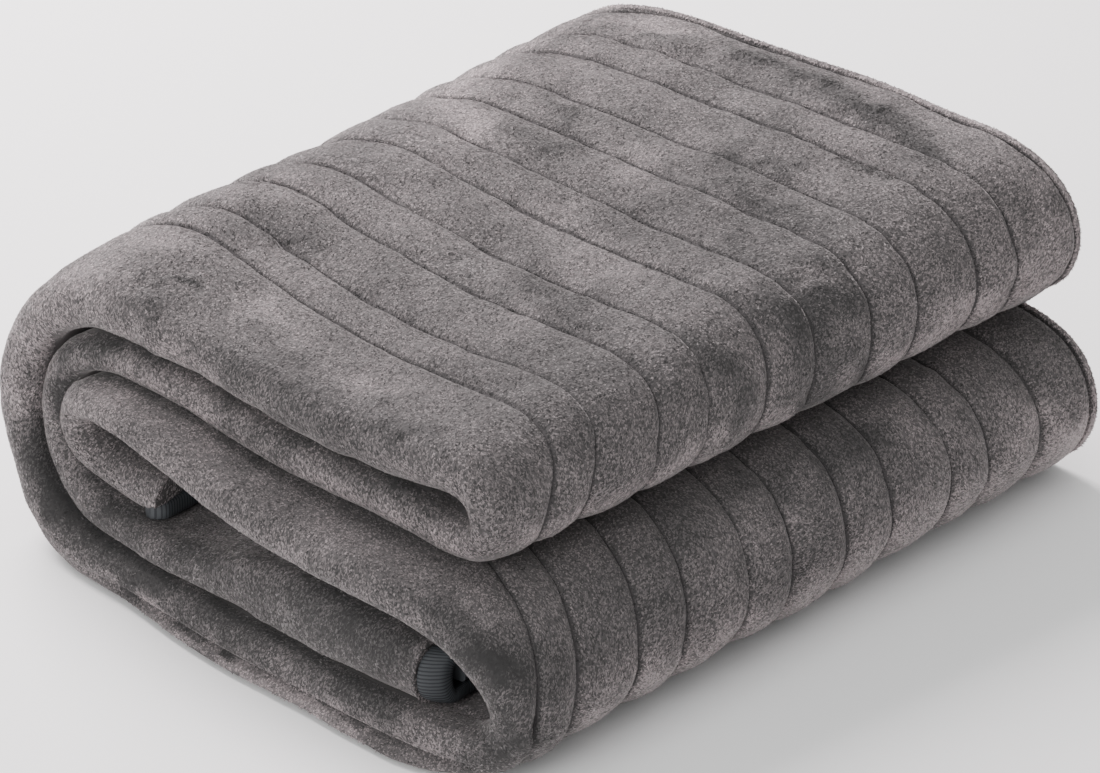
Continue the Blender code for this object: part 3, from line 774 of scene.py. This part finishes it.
        # at the top of the outer left fold and under the lower roll it lies to the far rim
        x, z = root[:, 0] / TURN_FADE, root[:, 2] / TURN_FADE
        fall[:, 1] += TURNED * np.maximum(np.clip(-x - 8.5, 0, 1) * np.clip(z - 6, 0, 1),
                                          np.clip(x - 10, 0, 1) * np.clip(3 - z, 0, 1))
        fall = fall + STRAY * rng.normal(size=(len(root), 3))
        lean = fall - (fall * up).sum(1, keepdims=True) * up
        return lean / np.maximum(np.linalg.norm(lean, axis=1, keepdims=True), 1e-6)

    @staticmethod
    def openness(places, corners, centre, face):
        """For each triangle, how much of the room in front of it isn't shut in by cloth."""
        search = BVHTree.FromPolygons([Vector(p) for p in places], corners.tolist())
        side = np.cross(face, np.where(np.abs(face[:, 2:]) < 0.9, [[0, 0, 1.0]], [[1.0, 0, 0]]))
        side /= np.maximum(np.linalg.norm(side, axis=1, keepdims=True), 1e-9)
        other = np.cross(face, side)
        start = centre + 0.6 * face
        seen = np.zeros(len(face))
        for turn in np.arange(5) * 0.4 * math.pi:
            ways = 0.5 * face + 0.87 * (math.cos(turn) * side + math.sin(turn) * other)
            for i in np.flatnonzero(seen < 3):
                if search.ray_cast(Vector(start[i]), Vector(ways[i]), OPEN_REACH)[0] is None:
                    seen[i] += 1
        return np.where(seen > 0, (seen + 1) / 4, 0) * np.where(face[:, 2] < -0.5, 0.4, 1.0)


def tape_route(near, far, step, blunt):
    """Middle line of the bound end, folded in three: (y, out, facing y, facing out). A blunt
    one's outer ply runs straight on to the near rim, and its fold there is hidden."""
    flap, turn = PLY, far - HEM_LIP - PLY / 2
    bend = LIP - 3.7
    route = []
    for y in np.arange(far - 6, near + (3.7 if blunt else LIP + 1), -step):
        route.append((y, flap, 0.0, 1.0))
    for a in np.arange(0.96 if blunt else 0.1, math.pi - 0.1, step / 12.3):
        route.append((near + LIP - bend * math.sin(a), flap * math.cos(a),
                      -math.sin(a), math.cos(a)))
    for y in np.arange(near + LIP + 1, turn - 1, step):
        route.append((y, -flap, 0.0, -1.0))
    for a in np.arange(0.2, math.pi - 0.2, step / 4.35):
        route.append((turn + PLY / 2 * math.sin(a), -PLY / 2 - PLY / 2 * math.cos(a),
                      math.sin(a), -math.cos(a)))
    for y in np.arange(turn - 1, near + LIP + 8, -step):
        route.append((y, 0.0, 0.0, 1.0))
    return np.array(route)


# The tape's section: how far along the strip, and how thick to each side.
TAPE_SECTION = np.array([
    (0.3, 0), (0.4, 1.8), (1.2, 3.1), (3, 3.5), (6, 3.6), (9.2, 3.6), (10.6, 3.3), (11.2, 2.4),
    (11.3, 0), (11.2, -2.4), (10.6, -3.3), (9.2, -3.6), (6, -3.6), (3, -3.5), (1.2, -3.1),
    (0.4, -1.8)])


class BLANKET_OT_binding(bpy.types.Operator):
    """Bind the two short ends with ribbed tape"""
    bl_idname = "blanket.binding"
    bl_label = "Bound Ends"

    def execute(self, context):
        look = context.scene.blanket_tape
        looks = [material("tape_rib", look.colour, 0.6),
                 material("tape_groove", look.shaded_groove, 0.8)]
        along, thick = TAPE_SECTION.T
        for name, place, way in (("binding_inner", PATH[0], -1.0),
                                 ("binding_outer", PATH[-1], 1.0)):
            _, x_near, z_near, _, z_far, near, far = place[:7]
            half_near, half_far = place[11:13]
            route = tape_route(near, far, look.rib / MM / 3, way < 0)
            # every third ring is a groove, dented in a little and coloured darker as painted shade
            shaded_groove = np.arange(len(route)) % 3 == 0
            hidden = (route[:, 0] > near + 70) & (route[:, 0] < far - 30)
            keep = ~hidden | (np.arange(len(route)) % 12 == 0)
            route, shaded_groove = route[keep], (shaded_groove & ~hidden)[keep]
            y, out, fy, fo = route.T[:, :, None]
            share = (y - near) / (far - near)
            z = z_near + share * (z_far - z_near)
            height = (half_near + share * (half_far - half_near)) / HALF
            close = np.clip(1 - (y - near - 2) / 24, 0, 1)
            if way > 0:
                height = np.maximum(height, 1.0)
                # the near end curls round to face outwards, and is a little wider there
                turn = close * (0.35 + 0.33 * along / 11) * math.radians(62)
                reach = along * (1 + 0.32 * close)
                swell = np.where(np.arange(len(y)) > len(y) - 24, 1.0, 0.0)[:, None]
            else:
                # the upper plies hide their tape near the rim
                turn = 0.0 * y
                tucked = np.clip(7 - out, 0, 1) * close ** 0.4
                corner = np.clip((near + 10.5 - y) / 7.0, 0, 1) * (1 - tucked)
                reach = along * (1 - 0.75 * tucked) * np.sqrt(1 - corner ** 2)
                swell = 0.5 * (1 - 2 * tucked)
            bulk = thick * (1 + 0.75 * swell) - np.sign(thick) * 0.25 * shaded_groove[:, None]
            grid = np.stack([x_near + reach * np.cos(turn), y + reach * np.sin(turn) + bulk * fy,
                             z + way * (out * height + bulk * fo)], -1) - MIDDLE
            around = grid.shape[1]
            faces = ring_faces(len(grid), around)
            piece = mesh_object(name.replace("binding", "tape"), grid.reshape(-1, 3), faces, looks)
            index = np.repeat(shaded_groove[:-1], around)
            piece.data.polygons.foreach_set("material_index", index.astype(np.int32))
            count = len(grid) * around
            capped(piece.data, range(around), range(count - around, count))
            dress(piece, name)
        return {"FINISHED"}


class BLANKET_OT_stitching(bpy.types.Operator):
    """Sew the channels and the hem with thread"""
    bl_idname = "blanket.stitching"
    bl_label = "Stitching"

    def execute(self, context):
        look = context.scene.blanket_stitch
        strip, grid = laid["strip"], laid["grid"]
        stretch = laid["stretch"]
        normal = grid_normals(grid)
        first = np.flatnonzero(stretch == "channel")[0]
        columns = [first + k * len(CHANNEL_STEPS) for k in range(len(CHANNEL_LINES) - 1)]
        hem = np.flatnonzero(stretch == "hem")
        columns += [hem[0], hem[len(HEM_STEPS)]]
        pitch, thread = look.pitch / MM, look.thread / MM
        points, faces = [], []
        for column in columns:
            line, up = grid[:, column], normal[:, column]
            long = np.concatenate([[0], np.cumsum(np.linalg.norm(np.diff(line, axis=0), axis=1))])
            starts = np.arange(2.0, long[-1] - 4, pitch)
            seen = np.interp(starts, long, strip.value["show"][:, 0]) > 0.4
            for start in starts[seen]:
                at = start + pitch * STITCH_STEPS
                path = np.stack([np.interp(at, long, line[:, k]) for k in range(3)], 1)
                face = np.stack([np.interp(at, long, up[:, k]) for k in range(3)], 1)
                path += face * STITCH_HEIGHTS[:, None]
                way = path[-1] - path[0]
                way /= np.linalg.norm(way)
                side = np.cross(way, face[1])
                side /= np.linalg.norm(side)
                base = len(points) * 16  # four rings of four points each
                ring = np.stack([side, face[1], -side, -face[1]]) * thread / 2
                points.append((path[:, None] + ring[None]).reshape(-1, 3))
                faces.append(ring_faces(4, 4, base))
                faces.append(np.array([[base, base + 3, base + 2, base + 1],
                                       [base + 12, base + 13, base + 14, base + 15]]))
        piece = mesh_object("stitches", np.concatenate(points), np.concatenate(faces),
                            [material("thread", look.colour, 0.55)])
        dress(piece, None)
        return {"FINISHED"}


class BLANKET_OT_stage(bpy.types.Operator):
    """Set up the pale floor, the soft light and the camera"""
    bl_idname = "blanket.stage"
    bl_label = "Stage"

    def execute(self, context):
        look = context.scene.blanket_stage
        scene = context.scene
        bpy.ops.mesh.primitive_plane_add(size=12, location=(0, 0, -0.0004))
        floor = context.object
        floor.name = "floor"
        floor.data.materials.append(material("floor", look.floor, 0.9))
        world = bpy.data.worlds.new("room")
        scene.world = world
        world.use_nodes = True
        world.node_tree.nodes["Background"].inputs[0].default_value = (1, 1, 1, 1)
        world.node_tree.nodes["Background"].inputs[1].default_value = look.fill

        def softbox(name, power, size, place, colour=(1, 1, 1)):
            light = bpy.data.lights.new(name, "AREA")
            light.energy, light.size, light.color = power, size, colour
            lamp = bpy.data.objects.new(name, light)
            scene.collection.objects.link(lamp)
            lamp.location = place
            lamp.rotation_euler = (-Vector(place)).to_track_quat("-Z", "Y").to_euler()

        softbox("top_left", look.key, 1.4, (-1.6, 0.3, 1.5), look.tint)
        softbox("front", look.front, 1.2, (0.3, -2.0, 1.0))
        softbox("above", look.above, 2.4, (0.1, 0.2, 2.4))

        swing, drop = math.radians(CAMERA_SWING), math.radians(CAMERA_DROP)
        ahead = Vector((-math.sin(swing) * math.cos(drop), math.cos(swing) * math.cos(drop),
                        -math.sin(drop)))
        lens = bpy.data.cameras.new("camera")
        lens.sensor_width, lens.lens, lens.clip_end = CAMERA_SENSOR, CAMERA_LENS, 50.0
        camera = bpy.data.objects.new("camera", lens)
        scene.collection.objects.link(camera)
        camera.location = Vector(CAMERA_AIM) - ahead * CAMERA_FAR
        camera.rotation_euler = ahead.to_track_quat("-Z", "Y").to_euler()
        scene.camera = camera
        return {"FINISHED"}


class BLANKET_PT_panel(bpy.types.Panel):
    """The blanket's sizes, colours and steps"""
    bl_idname = "BLANKET_PT_panel"
    bl_label = "Heated Blanket"
    bl_space_type = "VIEW_3D"
    bl_region_type = "UI"
    bl_category = "Blanket"

    def draw(self, context):
        for group, steps in GROUPS:
            box = self.layout.box()
            for name in GROUP_CLASSES[group].__annotations__:
                box.prop(getattr(context.scene, group), name)
            for step in steps:
                box.operator(step.bl_idname)


GROUP_CLASSES = {
    "blanket_cloth": BLANKET_PG_cloth,
    "blanket_pile": BLANKET_PG_pile,
    "blanket_tape": BLANKET_PG_tape,
    "blanket_stitch": BLANKET_PG_stitch,
    "blanket_stage": BLANKET_PG_stage,
}
GROUPS = (
    ("blanket_cloth", (BLANKET_OT_cloth,)),
    ("blanket_pile", (BLANKET_OT_pile,)),
    ("blanket_tape", (BLANKET_OT_binding,)),
    ("blanket_stitch", (BLANKET_OT_stitching,)),
    ("blanket_stage", (BLANKET_OT_stage,)),
)
CLASSES = (*GROUP_CLASSES.values(), BLANKET_OT_cloth, BLANKET_OT_pile, BLANKET_OT_binding,
           BLANKET_OT_stitching, BLANKET_OT_stage, BLANKET_PT_panel)


def register():
    for cls in CLASSES:
        bpy.utils.register_class(cls)
    for name, cls in GROUP_CLASSES.items():
        setattr(bpy.types.Scene, name, PointerProperty(type=cls))


def unregister():
    for name in GROUP_CLASSES:
        delattr(bpy.types.Scene, name)
    for cls in reversed(CLASSES):
        bpy.utils.unregister_class(cls)


def main():
    register()
    bpy.ops.blanket.stage()
    bpy.ops.blanket.cloth()
    bpy.ops.blanket.pile()
    bpy.ops.blanket.binding()
    bpy.ops.blanket.stitching()


if __name__ == "__main__":
    main()
